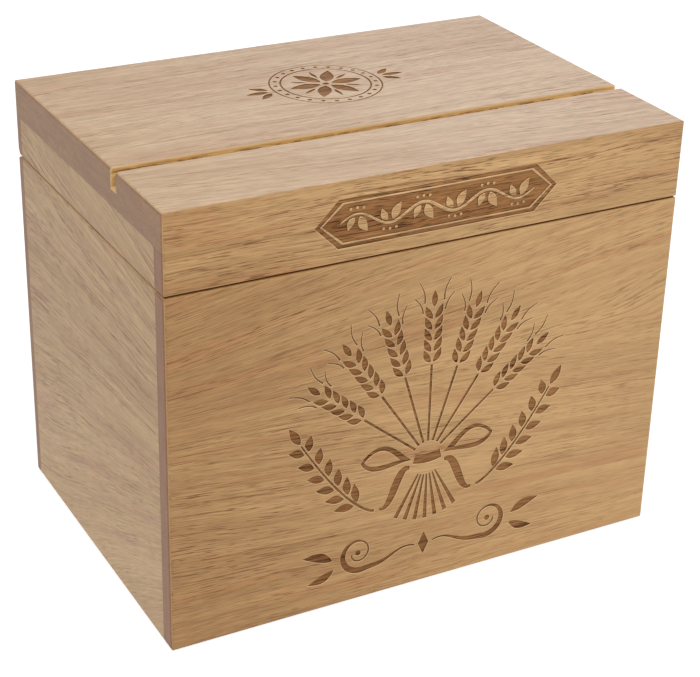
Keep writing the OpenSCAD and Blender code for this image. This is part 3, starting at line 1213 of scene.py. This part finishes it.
def splitAcross(build, axis, cell):
    # cuts big flat faces into strips, so that no face has many holes
    places = [v.co[axis] for v in build.verts]
    start = min(places)
    normal = [0, 0, 0]
    normal[axis] = 1
    for i in range(1, math.ceil((max(places) - start) / cell)):
        point = [0, 0, 0]
        point[axis] = start + i * cell
        everything = build.verts[:] + build.edges[:] + build.faces[:]
        bmesh.ops.bisect_plane(build, geom=everything, plane_co=point, plane_no=normal, dist=1e-7)


def sawnSlot(mesh):
    # the faces inside the card slot get the saw's own finish
    margin = 0.15 * mm
    mesh.materials.append(materials["slot"])
    for face in mesh.polygons:
        middle = face.center
        inside = slotLow[1] - margin < middle.y < slotHigh[1] + margin and middle.z > slotLow[2] - margin
        if inside and abs(face.normal.x) < 0.5:
            face.material_index = len(mesh.materials) - 1


def copied(source, name):
    piece = source.copy()
    piece.data = source.data.copy()
    piece.name = name
    piece.parent = None
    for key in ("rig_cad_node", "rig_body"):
        if key in piece:
            del piece[key]
    bpy.context.scene.collection.objects.link(piece)
    return piece


def divided(mesh, axes):
    build = bmesh.new()
    build.from_mesh(mesh)
    bmesh.ops.remove_doubles(build, verts=build.verts, dist=1e-6)
    for axis in axes:
        splitAcross(build, axis, engraving["cell"])
    build.to_mesh(mesh)
    build.free()
    normals = mesh.attributes.get("custom_normal")
    if normals:
        mesh.attributes.remove(normals)


def cutBy(piece, cutters):
    for cutter in cutters:
        cut = piece.modifiers.new("cut", "BOOLEAN")
        cut.operation = "DIFFERENCE"
        cut.solver = "MANIFOLD"
        cut.material_mode = "TRANSFER"
        cut.object = cutter
    bpy.context.view_layer.update()
    solid = bpy.data.meshes.new_from_object(piece.evaluated_get(bpy.context.evaluated_depsgraph_get()))
    piece.modifiers.clear()
    piece.data = solid


def engraved(nodeName, pieceName, body, axes, cutters):
    # axes: the ways in which the board's faces are divided before the cut
    piece = copied(nodes[nodeName], pieceName)
    divided(piece.data, axes)
    if nodeName == "lid_top":
        sawnSlot(piece.data)
    cutBy(piece, cutters)
    piece.data.shade_smooth()
    piece.data.set_sharp_from_angle(angle=math.radians(engraving["sharpAngle"]))
    weigh = piece.modifiers.new("weigh", "WEIGHTED_NORMAL")
    weigh.keep_sharp = True
    weigh.weight = 100
    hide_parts(nodeName)
    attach(piece, body)
    print("engraved", piece.name, len(piece.data.polygons), "faces")


frontShapes = wheatSheaf(sheaf) + bow(ribbon) + flourish(scrolls) + laurel(laurels)
frontCutter = cutterFrom("frontCutter", frontShapes, frontPlane, "frontBoard")
bandCutter = cutterFrom("bandCutter", vineBand(vine), frontPlane, "railBoard")
lidBandCutter = cutterFrom("lidBandCutter", vineBand(vine), frontPlane, "lidBoard")
rosetteCutter = cutterFrom("rosetteCutter", rosetteShapes(rosette), topPlane, "lidBoard")
engraved("box_front", "box_front_engraved", "base", (0, 2), [frontCutter])
engraved("lid_front", "lid_front_engraved", "lid", (0, 2), [bandCutter])
engraved("lid_top", "lid_top_engraved", "lid", (0, 1, 2), [lidBandCutter, rosetteCutter])
for cutter in (frontCutter, bandCutter, lidBandCutter, rosetteCutter):
    bpy.data.objects.remove(cutter)


# floor, light and world
studio = {
    "sky": 0.5,
    "aim": (0, 0, 0.07),
    "key": {"stand": (-0.55, -0.9, 1.3), "size": 1.1, "power": 11.0},
    "fill": {"stand": (1.2, -0.9, 0.6), "size": 1.2, "power": 5.0},
    "floorSize": 6,
    "floorColour": (0.8, 0.8, 0.8, 1),
    "floorGlow": 0.6,
}


def addLamp(name, stand, size, power):
    data = bpy.data.lights.new(name, "AREA")
    data.shape = "DISK"
    data.size = size
    data.energy = power
    lamp = bpy.data.objects.new(name, data)
    lamp.location = stand
    lamp.rotation_euler = (Vector(studio["aim"]) - Vector(stand)).to_track_quat("-Z", "Y").to_euler()
    bpy.context.scene.collection.objects.link(lamp)


def seenDirectly(tree):
    path = put(tree, "LightPath").outputs
    shiny = larger(tree, path["Is Glossy Ray"], path["Is Transmission Ray"])
    return larger(tree, path["Is Camera Ray"], shiny)


def addFloor(size, tone, glow):
    build = bmesh.new()
    bmesh.ops.create_grid(build, x_segments=1, y_segments=1, size=size)
    mesh = bpy.data.meshes.new("floor")
    build.to_mesh(mesh)
    build.free()
    floor = bpy.data.objects.new("floor", mesh)
    bpy.context.scene.collection.objects.link(floor)
    material = bpy.data.materials.new("floorPaper")
    material.use_nodes = True
    tree = material.node_tree
    tree.nodes.clear()
    paper = put(tree, "BsdfDiffuse", {"Color": tone}).outputs[0]
    strength = times(tree, seenDirectly(tree), glow)
    shine = put(tree, "Emission", {"Color": (1, 1, 1, 1), "Strength": strength}).outputs[0]
    both = put(tree, "AddShader", {0: paper, 1: shine}).outputs[0]
    put(tree, "OutputMaterial", {"Surface": both})
    mesh.materials.append(material)


def addWorld(strength):
    world = bpy.data.worlds.new("studio")
    world.use_nodes = True
    tree = world.node_tree
    tree.nodes.clear()
    level = calc(tree, "ADD", strength, times(tree, seenDirectly(tree), 1 - strength))
    sky = put(tree, "Background", {"Color": (1, 1, 1, 1), "Strength": level}).outputs[0]
    put(tree, "OutputWorld", {"Surface": sky})
    bpy.context.scene.world = world


addCamera(cameraSetup)
addFloor(studio["floorSize"], studio["floorColour"], studio["floorGlow"])
addWorld(studio["sky"])
addLamp("key", **studio["key"])
addLamp("fill", **studio["fill"])
bpy.context.scene.view_settings.view_transform = "Standard"
print("camera, floor and lights are in place")
